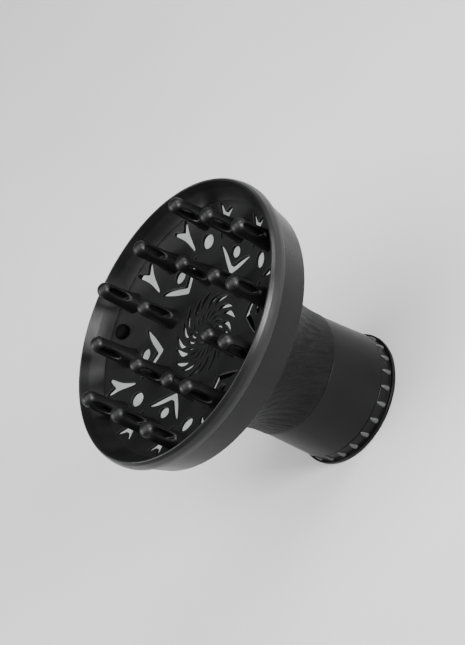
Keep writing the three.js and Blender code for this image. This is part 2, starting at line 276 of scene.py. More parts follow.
def inside(points, loop):
    """Which points are inside a closed outline."""
    x, y = points[:, 0][:, None], points[:, 1][:, None]
    a, b = loop, np.roll(loop, -1, 0)
    crosses = (a[:, 1] > y) != (b[:, 1] > y)
    rise = np.where(b[:, 1] == a[:, 1], 1e-12, b[:, 1] - a[:, 1])
    left = x < (b[:, 0] - a[:, 0]) * (y - a[:, 1]) / rise + a[:, 0]
    return (crosses & left).sum(1) % 2 == 1


def beside(loop, side, distance):
    """An outline moved sideways, to the left of its run for side 1 and to the right for side -1."""
    along = np.roll(loop, -1, 0) - np.roll(loop, 1, 0)
    along /= np.linalg.norm(along, axis=1)[:, None]
    return loop + side * distance * np.stack([-along[:, 1], along[:, 0]], 1)


# ---- solids -------------------------------------------------------------------------------------
def turned(profile, segments=AROUND, closed=True, ripple=None):
    """Turns an outline of [radius, height] points about Z. ripple moves the radius of each point."""
    profile = np.asarray([p[:2] for p in profile], float)
    angles = np.arange(segments) * 2 * math.pi / segments
    radius = np.repeat(profile[:, 0][:, None], segments, 1)
    height = np.repeat(profile[:, 1][:, None], segments, 1)
    if ripple:
        radius = radius + ripple(radius, height, angles[None, :])
    points = np.stack([radius * np.cos(angles), radius * np.sin(angles), height], -1)
    return points.reshape(-1, 3), quads(len(profile), segments, closed)


def grid_between(strips, fixed, grid):
    """Points of a triangular grid, inside the first outline, outside the rest and clear of fixed points."""
    row_height, clearance, chunk_size = grid * 0.866, grid * 0.4, 400
    low, high = fixed.min(0), fixed.max(0)
    xs, ys = np.arange(low[0], high[0], grid), np.arange(low[1], high[1], row_height)
    spots = np.array([(x + (grid / 2 if j % 2 else 0), y) for j, y in enumerate(ys) for x in xs])
    keep = inside(spots, strips[0])
    for loop in strips[1:]:
        keep &= ~inside(spots, loop)
    spots = spots[keep]
    if not len(spots):
        return spots
    chunks = np.array_split(spots, max(1, len(spots) // chunk_size))
    near = [np.sqrt(((chunk[:, None] - fixed[None]) ** 2).sum(-1)).min(1) for chunk in chunks]
    return spots[np.concatenate(near) > clearance]


def paved(rims, strips, grid):
    """A flat mesh inside the first rim and outside the others. Gives its points, its faces, and the number
    that each point of the rims has in it."""
    flat, edges = [], []
    for loop in rims + strips:
        start = sum(len(p) for p in flat)
        flat.append(loop)
        edges += [(start + i, start + (i + 1) % len(loop)) for i in range(len(loop))]
    fixed = np.concatenate(flat)
    every = np.concatenate([fixed, grid_between(strips, fixed, grid)])
    points, _, faces, origin, _, _ = delaunay_2d_cdt([Vector(p) for p in every], edges, [], 0, 1e-6)
    points = np.array([tuple(p) for p in points])
    place = {source: i for i, sources in enumerate(origin) for source in sources}
    middle = np.array([points[list(f)].mean(0) for f in faces])
    keep = inside(middle, rims[0])
    for loop in rims[1:]:
        box = np.all((middle > loop.min(0)) & (middle < loop.max(0)), 1)
        hit = np.zeros(len(middle), bool)
        if box.any():
            hit[box] = inside(middle[box], loop)
        keep &= ~hit
    return points, [tuple(f) for f, k in zip(faces, keep) if k], place


def slab(outer, holes, top, bottom, edge=0.4, grid=2.4, strip=0.15, sharp=()):
    """A plate with openings, rounded along every edge. top and bottom give heights at x, y arrays.
    grid is the spacing of the points between the edges, and strip the width of a border beside each edge.
    sharp lists the outlines, counted from the outer one, whose edges are only just broken."""
    just_broken = 0.05
    loops = [(anticlockwise(np.asarray(outer, float)), 1.0)]
    loops += [(anticlockwise(np.asarray(h, float)), -1.0) for h in holes]
    rounding = [just_broken if i in sharp else edge for i in range(len(loops))]
    rims = [beside(loop, side, r) for (loop, side), r in zip(loops, rounding)]
    strips = [beside(loop, side, r + strip) for (loop, side), r in zip(loops, rounding)]
    flat, kept, place = paved(rims, strips, grid)
    count = len(flat)
    x, y = flat[:, 0], flat[:, 1]
    points = [np.column_stack([x, y, top(x, y)]), np.column_stack([x, y, bottom(x, y)])]
    solid = kept + [tuple(i + count for i in reversed(f)) for f in kept]
    edge_rows = [(degrees, top, -1) for degrees in (30, 60, 90)]
    edge_rows += [(degrees, bottom, 1) for degrees in (90, 60, 30)]
    start, total = 0, 2 * count
    for (loop, side), r in zip(loops, rounding):
        n = len(loop)
        rows = [[place[start + i] for i in range(n)]]
        for degrees, surface, sign in edge_rows:
            s, c = math.sin(math.radians(degrees)), math.cos(math.radians(degrees))
            ring = beside(loop, side, r * (1 - s))
            z = surface(ring[:, 0], ring[:, 1]) + sign * r * (1 - c)
            points.append(np.column_stack([ring, z]))
            rows.append(list(range(total, total + n)))
            total += n
        rows.append([i + count for i in rows[0]])
        for a, b in zip(rows, rows[1:]):
            for i in range(n):
                k = (i + 1) % n
                quad = (a[i], a[k], b[k], b[i])
                solid.append(quad if side < 0 else quad[::-1])
        start += n
    points = np.concatenate(points)
    used = sorted({i for f in solid for i in f})
    number = {old: new for new, old in enumerate(used)}
    return points[used], [tuple(number[i] for i in f) for f in solid]


def level(height):
    """A flat top or bottom for a slab."""
    return lambda x, y: np.full(np.shape(x), float(height))


# ---- materials ----------------------------------------------------------------------------------
class Nodes:
    """A material made of nodes, with a principled shader whose fixed values sit on its own sockets."""

    def __init__(self, name, **values):
        self.material = bpy.data.materials.new(name)
        self.material.use_nodes = True
        self.tree = self.material.node_tree
        self.shader = next(n for n in self.tree.nodes if n.type == "BSDF_PRINCIPLED")
        for key, value in values.items():
            socket = key.replace("_", " ").title().replace("Ior", "IOR")
            self.shader.inputs[socket].default_value = value
        self.place = self.add("ShaderNodeTexCoord").outputs["Object"]

    def add(self, kind, **values):
        """A new node, with its settings or its inputs given by name."""
        node = self.tree.nodes.new(kind)
        for key, value in values.items():
            if hasattr(node, key):
                setattr(node, key, value)
            else:
                node.inputs[key.replace("_", " ").title()].default_value = value
        return node

    def link(self, a, b):
        self.tree.links.new(a, b)

    def stretched(self, scale):
        """Coordinates scaled along x, y and z."""
        node = self.add("ShaderNodeMapping", scale=scale)
        self.link(self.place, node.inputs["Vector"])
        return node.outputs["Vector"]

    def around(self, turns, rise, twist):
        """Coordinates that run round the axis and along it, for grain that follows a turned piece."""
        split = self.add("ShaderNodeSeparateXYZ")
        self.link(self.place, split.inputs[0])
        angle = self.maths("ARCTAN2", split.outputs["Y"], split.outputs["X"])
        tall = self.maths("MULTIPLY", split.outputs["Z"], rise)
        twisted = self.maths("MULTIPLY_ADD", split.outputs["Z"], twist, angle)
        cosine = self.maths("MULTIPLY", self.maths("COSINE", twisted), turns)
        sine = self.maths("MULTIPLY", self.maths("SINE", twisted), turns)
        both = self.add("ShaderNodeCombineXYZ")
        self.link(cosine, both.inputs["X"])
        self.link(sine, both.inputs["Y"])
        self.link(tall, both.inputs["Z"])
        return both.outputs[0]

    def maths(self, operation, *inputs):
        """A calculation on numbers and sockets."""
        node = self.add("ShaderNodeMath", operation=operation)
        for socket, value in zip(node.inputs, inputs):
            if isinstance(value, (int, float)):
                socket.default_value = value
            else:
                self.link(value, socket)
        return node.outputs[0]

    def noise(self, scale, detail, roughness=0.5, distortion=0.0, where=None):
        """Noise over the object's own coordinates, or over others."""
        node = self.add("ShaderNodeTexNoise", scale=scale, detail=detail, roughness=roughness)
        node.inputs["Distortion"].default_value = distortion
        self.link(where or self.place, node.inputs["Vector"])
        return node.outputs["Fac"]

    def spread(self, fac, low, high):
        """Stretches the busy middle of a noise over the range from low to high."""
        node = self.add("ShaderNodeMapRange", from_min=0.3, from_max=0.7, to_min=low, to_max=high)
        self.link(fac, node.inputs[0])
        return node.outputs[0]

    def ramp(self, fac, stops):
        """Colours between stops, each given as (position, colour)."""
        node = self.add("ShaderNodeValToRGB")
        while len(node.color_ramp.elements) < len(stops):
            node.color_ramp.elements.new(0.5)
        for element, (at, colour) in zip(node.color_ramp.elements, stops):
            element.position, element.color = at, (*colour, 1)
        self.link(fac, node.inputs[0])
        return node.outputs[0]

    def colour(self, socket):
        self.link(socket, self.shader.inputs["Base Color"])

    def roughness(self, socket):
        self.link(socket, self.shader.inputs["Roughness"])

    def bump(self, *heights):
        """Stacks bumps given as (height socket, strength, distance in metres)."""
        normal = None
        for height, strength, distance in heights:
            node = self.add("ShaderNodeBump", strength=strength, distance=distance)
            self.link(height, node.inputs["Height"])
            if normal:
                self.link(normal, node.inputs["Normal"])
            normal = node.outputs["Normal"]
        self.link(normal, self.shader.inputs["Normal"])


def moulded(name, dark, light, rough, grain, specular, grain_size=1500):
    """Moulded plastic: two close tones, a fine spark-eroded grain, handling marks in the gloss."""
    m = Nodes(name, specular_ior_level=specular)
    patches = m.noise(45, 4, 0.55)
    fine = m.noise(grain_size, 3, 0.6)
    smears = m.noise(30, 5, 0.65, 1.2, m.stretched((1, 1, 0.35)))
    tone = m.maths("MULTIPLY_ADD", fine, 0.35, m.maths("MULTIPLY", patches, 0.65))
    m.colour(m.ramp(tone, [(0.3, dark), (0.7, light)]))
    smear = m.spread(smears, rough - 0.06, rough + 0.09)
    m.roughness(m.maths("MULTIPLY_ADD", fine, 0.08, m.maths("SUBTRACT", smear, 0.04)))
    m.bump((patches, 0.25, 0.00025), (fine, grain, 0.00003))
    return m.material


def horn_finish():
    """The horn: satin black, with faint flowing lines that follow the air."""
    m = Nodes("horn_satin", specular_ior_level=0.11)
    flow = m.noise(5, 4, 0.55, 1.6, m.around(3.2, 16, 9))
    fine = m.noise(1500, 3, 0.6)
    m.colour(m.ramp(flow, [(0.32, (0.0018, 0.0018, 0.002)), (0.68, (0.0062, 0.0062, 0.0065))]))
    m.roughness(m.maths("MULTIPLY_ADD", fine, 0.1, m.spread(flow, 0.52, 0.4)))
    m.bump((flow, 0.5, 0.0012), (fine, 0.3, 0.00003))
    return m.material


def liner_finish():
    """The pale liner. A little light of its own stands in for the daylight it passes on to the openings."""
    m = Nodes(
        "pale_liner",
        specular_ior_level=0.35,
        emission_strength=0.42,
        emission_color=(0.86, 0.87, 0.88, 1),
    )
    cloud = m.noise(38, 5, 0.6, 0.6)
    fine = m.noise(900, 2, 0.5)
    m.colour(m.ramp(cloud, [(0.3, (0.42, 0.425, 0.43)), (0.7, (0.66, 0.665, 0.67))]))
    m.roughness(m.spread(cloud, 0.42, 0.6))
    m.bump((fine, 0.25, 0.00005))
    return m.material


def nylon_finish():
    """Glass-filled nylon: short pale fibres that swirl in a dark grey body."""
    m = Nodes("glass_filled_nylon", specular_ior_level=0.4)
    fibres = m.noise(900, 4, 0.7, 2.2, m.stretched((1, 1, 0.25)))
    patches = m.noise(120, 3, 0.5)
    tone = m.maths("MULTIPLY_ADD", fibres, 0.7, m.maths("MULTIPLY", patches, 0.3))
    m.colour(m.ramp(tone, [(0.42, (0.016, 0.016, 0.017)), (0.62, (0.05, 0.05, 0.052))]))
    m.roughness(m.spread(fibres, 0.48, 0.68))
    m.bump((fibres, 0.35, 0.00005))
    return m.material


def silicone_finish():
    """Soft silicone: matt, faintly dusty, with a fine orange peel."""
    m = Nodes("silicone", specular_ior_level=0.35, sheen_weight=0.25, sheen_roughness=0.5)
    peel = m.noise(1100, 2, 0.5)
    dust = m.noise(160, 5, 0.7)
    m.colour(m.ramp(dust, [(0.4, (0.03, 0.03, 0.032)), (0.75, (0.085, 0.085, 0.088))]))
    m.roughness(m.spread(dust, 0.72, 0.9))
    m.bump((peel, 0.4, 0.00006))
    return m.material


def steel_finish():
    """Ground steel: fine lines round the pin."""
    m = Nodes("ground_steel", metallic=1.0)
    lines = m.noise(700, 3, 0.6, 0.0, m.stretched((0.15, 0.15, 6)))
    stain = m.noise(220, 4, 0.6)
    m.colour(m.ramp(stain, [(0.3, (0.42, 0.43, 0.44)), (0.7, (0.62, 0.63, 0.64))]))
    m.roughness(m.spread(lines, 0.18, 0.38))
    m.bump((lines, 0.3, 0.00002))
    return m.material


SATIN = moulded(
    "satin_black",
    dark=(0.0026, 0.0026, 0.0028),
    light=(0.0058, 0.0058, 0.0061),
    rough=0.33,
    grain=0.35,
    specular=0.15,
)
RIM = moulded(
    "rim_black",
    dark=(0.0048, 0.0048, 0.005),
    light=(0.0088, 0.0088, 0.0092),
    rough=0.36,
    grain=0.3,
    specular=0.36,
)
FACE = moulded(
    "face_charcoal",
    dark=(0.0045, 0.0045, 0.0048),
    light=(0.0088, 0.0088, 0.0092),
    rough=0.4,
    grain=0.5,
    specular=0.24,
    grain_size=1100,
)
GLOSS = moulded(
    "gloss_black",
    dark=(0.0018, 0.0018, 0.002),
    light=(0.0038, 0.0038, 0.004),
    rough=0.43,
    grain=0.12,
    specular=0.34,
)
# painted highlight: a lighter black for the knurl's ribs, so that they read as lit
RIB_HIGHLIGHT = moulded(
    "rib_painted_highlight",
    dark=(0.03, 0.03, 0.032),
    light=(0.055, 0.055, 0.058),
    rough=0.4,
    grain=0.3,
    specular=0.5,
)
MATT = moulded(
    "matt_black",
    dark=(0.0008, 0.0008, 0.0009),
    light=(0.0018, 0.0018, 0.0019),
    rough=0.7,
    grain=0.4,
    specular=0.08,
)
HORN = horn_finish()
LINER = liner_finish()
NYLON = nylon_finish()
SILICONE = silicone_finish()
STEEL = steel_finish()


# ---- front rim, horn, liner, sleeve -------------------------------------------------------------
def dish(x, y):
    """Height of the dished plate's top."""
    r2 = np.minimum(x**2 + y**2, DISH_END**2)
    return PLATE_CENTRE + DISH_SQUARE * r2 + DISH_FOURTH * r2**2


def dish_underside(x, y):
    return dish(x, y) - PLATE_THICKNESS


def dish_at(radius):
    return float(dish(np.array(radius, float), np.array(0.0)))


def bell(inward, start, steps):
    """Points along the bell's flare, moved inward from its outside. start is a share of its length."""
    points = []
    for t in np.linspace(start, 1, steps + 1):
        u = 1 - t
        at = u**3 * BELL[0] + 3 * u * u * t * BELL[1] + 3 * u * t * t * BELL[2] + t**3 * BELL[3]
        along = u * u * (BELL[1] - BELL[0]) + 2 * u * t * (BELL[2] - BELL[1]) + t * t * (BELL[3] - BELL[2])
        along /= np.linalg.norm(along)
        points.append((at[0] - inward * along[1], at[1] + inward * along[0], 0))
    return points


def make_rim():
    """The rounded lip and its outer band, with the cove inside it in the face's finish."""
    foot = dish_at(RIM_BORE) + 0.02  # rests on the plate
    joint, crest = SEAM + SEAM_GAP, 133.4
    profile = rounded(
        [
            # foot and stepped joint
            (RIM_BORE, foot, 0.05),
            (80.9, foot, 0.2),
            (80.9, joint, 0.15),
            (84.7, joint, 0.7),
            # outer band and lip
            (RIM_RADIUS, 128, 6),
            (84.3, 131.4, 4),
            (83.1, crest, 1.4),
            (82.2, crest, 0.8),
            # cove
            (81.6, 131.4, 3),
            (80.4, 128, 9),
            (78.4, 124.6, 9),
            (76.6, 122.1, 6),
        ],
        steps=6,
    )

    def cove(poly):
        """1 for the faces inside the lip's crest and, lower down, inside a steep cone."""
        radius, height = radius_and_height(poly)
        return 1 if radius < min(82, (height + 40) / 2) else 0

    piece("bowl_rim", turned(profile), [RIM, FACE], "housing", ["front_rim"], cove)


def make_horn():
    """The rear shell: neck, fluted bell and upright band in one moulding."""
    profile = rounded(
        [
            # outside: bell and upright band
            *bell(0, 0, 48),
            (78.7, BAND_FOOT + 0.1, 0.45),
            (83.2, SEAM, 0.5),
            # stepped joint, and the ledge under the plate
            (81.4, SEAM, 0.2),
            (81.4, CLAMP, 0.2),
            (77.8, CLAMP, 0.2),
            (77.8, 118.5, 0.2),
            (75.6, 118.5, 0.2),
            (75.6, 117, 0.2),
            (77.2, 115.6, 0),
            # inside: bell, neck, and the spigot in the sleeve
            *bell(WALL, 0.22, 24)[::-1],
            (31.5, 51, 1),
            (31.5, 36, 0.4),
            (33.6, 36, 0.3),
            (33.6, 45.6, 0.3),
        ],
        radius=0.4,
    )
    just_inside = np.array(bell(1.0, 0, 40))[:, [1, 0]].T

    def flutes(radius, height, angle):
        """Shallow flutes on the outside that lean as they rise and fade out at both ends."""
        fade = np.clip((height - FLUTES_LOW) / 10, 0, 1) * np.clip((FLUTES_HIGH - height) / 14, 0, 1)
        outside = radius > np.interp(height, *just_inside)
        lean, wander = 0.006 * (height - 45), 1.3 * np.sin(5 * angle)
        wave = np.cos(FLUTES * (angle + lean) + wander)
        return -FLUTE_DEPTH * (1 - wave) / 2 * fade * outside

    def flowing(poly):
        """1 for the outside below the upright band."""
        radius, height = radius_and_height(poly)
        return 1 if height < BAND_FOOT - 0.8 and radius > np.interp(height, *just_inside) else 0

    shell = turned(profile, segments=540, ripple=flutes)
    piece("horn", shell, [SATIN, HORN], "housing", ["rear_shell"], flowing)


def make_liner():
    """The pale liner that lies inside the bell."""
    inward, thickness, start = WALL + 0.5, 1.2, 0.3
    profile = rounded(
        [
            *bell(inward, start, 30),
            (75, LINER_TOP, 0.2),
            (73.8, LINER_TOP, 0.2),
            *bell(inward + thickness, start, 30)[::-1],
        ],
        radius=0.2,
    )
    liner = turned(profile, segments=180)
    piece("bell_liner", liner, [LINER], "housing", ["inner_liner"])


def make_sleeve():
    """The smooth fixed sleeve, with the snap bead at its foot."""
    profile = rounded(
        [
            # snap bead
            (35, SLEEVE_LOW),
            (36, SLEEVE_LOW, 0.2),
            (36.7, 6.5, 0.2),
            (36.7, 7.3, 0.2),
            (36, 8, 0.2),
            (36, SLEEVE_FOOT, 0.15),
            # smooth outside, a little narrower towards the horn
            (SLEEVE_RADIUS, SLEEVE_FOOT, 0.4),
            (37.6, 26, 0),
            (37, SLEEVE_TOP, 0.35),
            # inside, with a shoulder over the jaw carrier
            (34, SLEEVE_TOP, 0.3),
            (34, 21, 0.2),
            (35, 21, 0.2),
        ]
    )
    piece("collar_tube", turned(profile), [SATIN], "housing", ["collar_sleeve"])


# ---- pierced face -------------------------------------------------------------------------------
def placed(outline, radius, degrees, spin=0.0):
    """An outline turned outward and moved out to a place on the face."""
    return turn_2d(outline, degrees + spin) + polar(radius, degrees)


def oval(half_length, half_width):
    angles = np.arange(40) * math.pi / 20
    points = np.stack([half_length * np.cos(angles), half_width * np.sin(angles)], 1)
    return evenly(points, OPENING_STEP)


def star():
    """Three tapering arms, one towards the centre, with hollow flanks between them."""
    arms = [(40, 9.0), (180, 11.4), (320, 9.0)]  # angle and length
    root, tip, hollow = 1.5, 0.75, 2.7
    points = []
    for i, (angle, length) in enumerate(arms):
        ahead = polar(1, angle)
        side = np.array([-ahead[1], ahead[0]])
        following = arms[(i + 1) % 3][0] + (360 if i == 2 else 0)
        points += [
            ahead * length * 0.55 - side * root,
            ahead * length - side * tip,
            ahead * length + side * tip,
            ahead * length * 0.55 + side * root,
            polar(hollow, (angle + following) / 2),
        ]
    return evenly(softened(points), OPENING_STEP)


def chevron():
    """A bent bar whose apex points at the centre, and whose arms curve out and thin away."""
    half_width = 2.5
    spine = [(11.6, 16.2), (10.2, 13.6), (7.9, 10.3), (4.9, 6.3), (1.5, 1.9)]
    spine += [(0, 0)] + [(x, -y) for x, y in spine[::-1]]
    taper = [0.06, 0.46, 0.86, 1.04, 1.02]
    taper += [1.05] + taper[::-1]
    near = [(x - half_width * t, y) for (x, y), t in zip(spine, taper)]
    far = [(x + half_width * t, y) for (x, y), t in zip(spine, taper)]
    return evenly(softened(near + far[::-1], 2), OPENING_STEP)


def swirl(inner, outer, turn, half_width):
    """A leaf that swirls back as it runs outward, widest past its middle."""
    left, right = [], []
    for t in np.linspace(0, 1, 15):
        half = half_width * math.sin(math.pi * t**1.3) + 0.12
        radius = inner + (outer - inner) * t
        angle, spread = -turn * t**1.4, math.degrees(half / radius)
        left.append(polar(radius, angle + spread))
        right.append(polar(radius, angle - spread))
    return evenly(np.array(left + right[::-1]), 0.42)


def make_plate():
    """The dished plate with its chevrons, ovals and stars. One star's place is taken by the plug."""
    openings = []
    for k in range(SECTORS):
        across = SECTOR * k
        between = across + SECTOR / 2
        openings.append(placed(chevron(), CHEVRON_RADIUS, between))
        openings.append(placed(oval(3.3, 4.3), INNER_OVAL_RADIUS, between))
        openings.append(placed(oval(4.1, 4.8), OUTER_OVAL_RADIUS, across))
        openings.append(placed(star(), STAR_RADIUS, across + 45, -STAR_LEAN))
        if across + 15 != PLUG_ANGLE:
            openings.append(placed(star(), STAR_RADIUS, across + 15, STAR_LEAN))
    plate = slab(
        circle(PLATE_RADIUS, 1.3),
        [circle(PLATE_HOLE, 0.9), *openings],
        dish,
        dish_underside,
        edge=0.42,
        sharp=(0, 1),
    )
    piece("pierced_face", plate, [FACE], "housing", ["face_plate"])


def make_hub():
    """The grille's small hub, with a pin in a hollow at its middle."""
    base = PLATE_CENTRE
    edge = rounded(
        [
            (6.4, base - 0.4, 0.1),
            (6.4, base + 0.25, 0.2),
            (5.7, base + 1.35, 0.5),
            (4.6, base + 1.5, 0.8),
            (2.2, base + 1.2, 0.3),
            (1.9, base + 0.3, 0.3),
            (1.3, base + 0.3, 0.2),
            (1.2, base + 1.5, 0.5),
            (0.5, base + 2.1, 0.4),
            (0, base - 0.4, 0),
        ]
    )[:-1]
    return turned([(0, base - 0.4), *edge, (0, base + 2.15)], 72, closed=False)


def make_grille():
    """The centre grille: long swirling slots, every other one further out, short ones inside, and the hub."""
    slits = []
    for k in range(VANES):
        angle = 360 / VANES * k
        reach = 1.5 if k % 2 else 0.0
        short = swirl(inner=7.8, outer=15.0, turn=19, half_width=0.55)
        long = swirl(inner=14.9 + reach, outer=24.5 + reach, turn=25, half_width=1.8)
        slits.append(turn_2d(short, angle + 7))
        slits.append(turn_2d(long, angle))
    grille = slab(
        circle(ROSETTE_RADIUS, 0.9),
        slits,
        dish,
        dish_underside,
        edge=0.24,
        grid=1.5,
        strip=0.1,
        sharp=(0,),
    )
    whole = join([grille, make_hub()])
    piece("swirl_grille", whole, [FACE], "housing", ["rosette_grille"])


def make_plug():
    """The domed plug that blanks off one star."""
    low, shoulder, crown_base, crown = -2, 0.9, 1.2, 2.9
    dome = [
        (PLUG_RADIUS * math.cos(a), crown_base + crown * math.sin(a)) for a in np.linspace(0, math.pi / 2, 12)
    ]
    plug = turned([(0, low), (PLUG_RADIUS, low), (PLUG_RADIUS, shoulder), *dome], 64, closed=False)
    plug = moved(plug, *polar(PLUG_PLACE, PLUG_ANGLE), dish_at(PLUG_PLACE))
    piece("plug_dome", plug, [MATT], "housing", ["blanking_plug"])


# ---- fingers ------------------------------------------------------------------------------------
TIP_ROUND = 4.75
SUNK = 1.4  # how far a finger's foot goes below the plate's surface
SLIM, FLARE, FLARE_FALL = 4.65, 1.45, 8
FILLET, FILLET_FALL = 0.5, 0.7


def body_radius(z, tip):
    """A finger's half-width at a height: a flared foot, a slow taper and a round tip."""
    flare = FLARE * np.exp(-np.maximum(z, -SUNK) / FLARE_FALL)
    taper = SLIM + flare + FILLET * np.exp(-(z + SUNK) / FILLET_FALL)
    cap = np.sqrt(np.maximum(TIP_ROUND**2 - np.maximum(z - (tip - TIP_ROUND), 0) ** 2, 0))
    return np.minimum(taper, cap + np.where(z < tip - TIP_ROUND, 9, 0))


def finger_outline(count, tip):
    """The finger's side view, and its slot, met by the same rays from the slot's centre."""
    turn = tip - TIP_ROUND
    round_heights = turn + TIP_ROUND * np.sin(np.linspace(0, 1, 60) * math.pi / 2)
    heights = np.concatenate([np.linspace(-SUNK, turn, 60), round_heights])
    side = [(body_radius(z, tip), z) for z in heights]
    side = np.array(side + [(-r, z) for r, z in side[::-1]])
    centre = np.array([0, tip - SLOT_BELOW_TIP])
    a, b = side - centre, np.roll(side, -1, 0) - centre
    squareness, crowding = 2.3, 0.32
    outer, slot = [], []
    for angle in (np.arange(count) + 0.5) * 2 * math.pi / count:
        # more rays go up and down than sideways, as the finger is long
        angle = angle + crowding * math.sin(2 * angle)
        d = np.array([math.cos(angle), math.sin(angle)])
        den = d[0] * (b - a)[:, 1] - d[1] * (b - a)[:, 0]
        den = np.where(np.abs(den) < 1e-12, 1e-12, den)
        reach = (a[:, 0] * (b - a)[:, 1] - a[:, 1] * (b - a)[:, 0]) / den
        along = (a[:, 0] * d[1] - a[:, 1] * d[0]) / den
        hit = reach[(along >= -1e-9) & (along <= 1 + 1e-9) & (reach > 0)]
        outer.append(centre + d * hit.min())
        across, up = abs(d[0] / SLOT_HALF_WIDTH), abs(d[1] / SLOT_HALF_LENGTH)
        size = (across**squareness + up**squareness) ** (-1 / squareness)
        slot.append(centre + d * size)
    return np.array(outer), np.array(slot)


def finger(tip, round_edge=1.4, rays=72, rings=11):
    """A tapered finger with a long slot right through it, along X, with its foot at z = 0."""
    outer, slot = finger_outline(rays, tip)

    def depth(flat):
        return np.sqrt(np.maximum(body_radius(flat[:, 1], tip) ** 2 - flat[:, 0] ** 2, 0))

    along = np.roll(slot, -1, 0) - np.roll(slot, 1, 0)
    along /= np.linalg.norm(along, axis=1)[:, None]
    away = np.stack([along[:, 1], -along[:, 0]], 1)
    rim = slot + away * round_edge
    front = []
    for k in range(rings + 1):
        share = math.sin(math.pi / 2 * (1 - k / rings))
        flat = rim + (outer - rim) * share
        front.append(np.column_stack([depth(flat), flat]))
    for degrees in (22.5, 45, 67.5, 90):
        s, c = math.sin(math.radians(degrees)), math.cos(math.radians(degrees))
        flat = slot + away * round_edge * (1 - s)
        front.append(np.column_stack([depth(flat) - round_edge * (1 - c), flat]))
    middle = np.column_stack([np.zeros(rays), slot - away * 0.12])
    back = [row * np.array([-1, 1, 1]) for row in front[::-1]]
    rows = front + [middle] + back
    faces = quads(len(rows), rays)
    last = (len(rows) - 1) * rays
    for i in range(rays):
        j = (i + 1) % rays
        # the foot's front and back edges are apart, so a face closes the gap
        if front[0][i][0] > 1e-4 or front[0][j][0] > 1e-4:
            faces.append((i, last + i, last + j, j))
    return np.concatenate(rows), faces


def make_fingers():
    """Three rings of fingers. Each foot is bent to lie in the dished plate."""
    bend_height = 8
    for name, radius, tip, start, first in FINGER_RINGS:
        plain, faces = finger(tip)
        foot = np.clip(1 - plain[:, 2] / bend_height, 0, 1) ** 2
        foot[plain[:, 2] < 0] = 1
        for k in range(SECTORS):
            heading = first * (-SLOT_TURN if k % 2 else SLOT_TURN)
            x, y = polar(radius, start + SECTOR * k)
            points = turn_3d(plain, heading) + np.array([x, y, 0])
            seat = dish(points[:, 0], points[:, 1])
            points[:, 2] += dish_at(radius) + foot * (seat - dish_at(radius))
            number = k + 1
            form = (points, faces)
            piece(f"{name}_form_{number}", form, [GLOSS], "housing", [f"{name}_{number}"])


# ---- grip ring ----------------------------------------------------------------------------------
def drop(radius, low, high, half_width, proud):
    """A drop-shaped rib: blunt by the flange, drawn to a point by the sleeve, half sunk in the ring."""
    rows, around, widest = 14, 16, 0.28
    points = []
    for i in range(rows + 1):
        t = i / rows
        rise = math.sin(math.pi * t / (2 * widest))
        fall = math.cos(math.pi * (t - widest) / (2 * (1 - widest)))
        swell = rise if t < widest else max(fall, 0.0) ** 1.1
        z = low + (high - low) * (0.5 - 0.5 * math.cos(math.pi * t))
        for j in range(around):
            a = 2 * math.pi * j / around
            points.append((radius + proud * swell * math.cos(a), half_width * swell * math.sin(a), z))
    faces = quads(rows + 1, around)
    faces.append(tuple(range(around))[::-1])
    faces.append(tuple(rows * around + j for j in range(around)))
    return np.array(points), faces


def peg_place(swing):
    """Where the first jaw's peg is when the jaw has swung in by so many degrees."""
    start = np.array([0.3, PEG_ARM])
    return turn_2d(start, swing) + np.array([PIVOT_RADIUS, 0])


def scroll_outline():
    """The slot that the first jaw's peg follows as the ring turns, with round ends."""
    half = SCROLL_HALF_WIDTH
    path = [turn_2d(peg_place(JAW_SWING * t), -RING_TURN * t) for t in np.linspace(0, 1, 17)]
    outer = [p * (1 + half / np.linalg.norm(p)) for p in path]
    inner = [p * (1 - half / np.linalg.norm(p)) for p in path]

    def cap(p, side):
        across = p / np.linalg.norm(p)
        ahead = np.array([-across[1], across[0]]) * side
        angles = np.linspace(0, math.pi, 9)[1:-1]
        return [p + half * (across * math.cos(a) + ahead * math.sin(a)) for a in angles]

    ends = cap(path[-1], -1), cap(path[0], 1)
    return evenly(np.array(outer + ends[0] + inner[::-1] + ends[1][::-1]), 0.6)


def make_grip():
    """The knurled ring: flange, groove for the snap bead, ribs painted a lighter black as a painted
    highlight, and a web with the scroll slots.
    """
    band = rounded(
        [
            (32.6, 0, 0.3),
            (FLANGE_RADIUS, 0, 0.55),
            (FLANGE_RADIUS, 2.2, 0.5),
            (GRIP_RADIUS, 2.2, 0.25),
            (GRIP_RADIUS, GRIP_TOP, 0.4),
            (36.4, GRIP_TOP, 0.15),
            (36.4, 8.4, 0.15),
            (37.1, 7.7, 0.15),
            (37.1, 6, 0.15),
            (36.4, 5, 0.1),
            (36.4, 1.9, 0.1),
            (32.6, 1.9, 0.1),
        ]
    )
    rib = drop(radius=GRIP_RADIUS - 0.05, low=2.5, high=8.9, half_width=1.6, proud=1.1)
    ribs = [spun(rib, (i + 0.5) * 360 / RIBS) for i in range(RIBS)]
    slots = [turn_2d(scroll_outline(), SECTOR * i) for i in range(SECTORS)]
    web_outline, web_holes = circle(36.6, 1.2), [circle(BORE_RADIUS, 1.2), *slots]
    web = slab(web_outline, web_holes, level(5), level(1.95), edge=0.25, grid=2)
    ring = join([turned(band), *ribs, web])

    # the faces of the ribs take the lighter painted-highlight black
    def on_a_rib(poly):
        radius, height = radius_and_height(poly)
        return 1 if radius > GRIP_RADIUS + 0.15 and 2.3 < height < 9 else 0

    piece("knurled_ring", ring, [SATIN, RIB_HIGHLIGHT], "turning_ring", ["grip_ring"], on_a_rib)


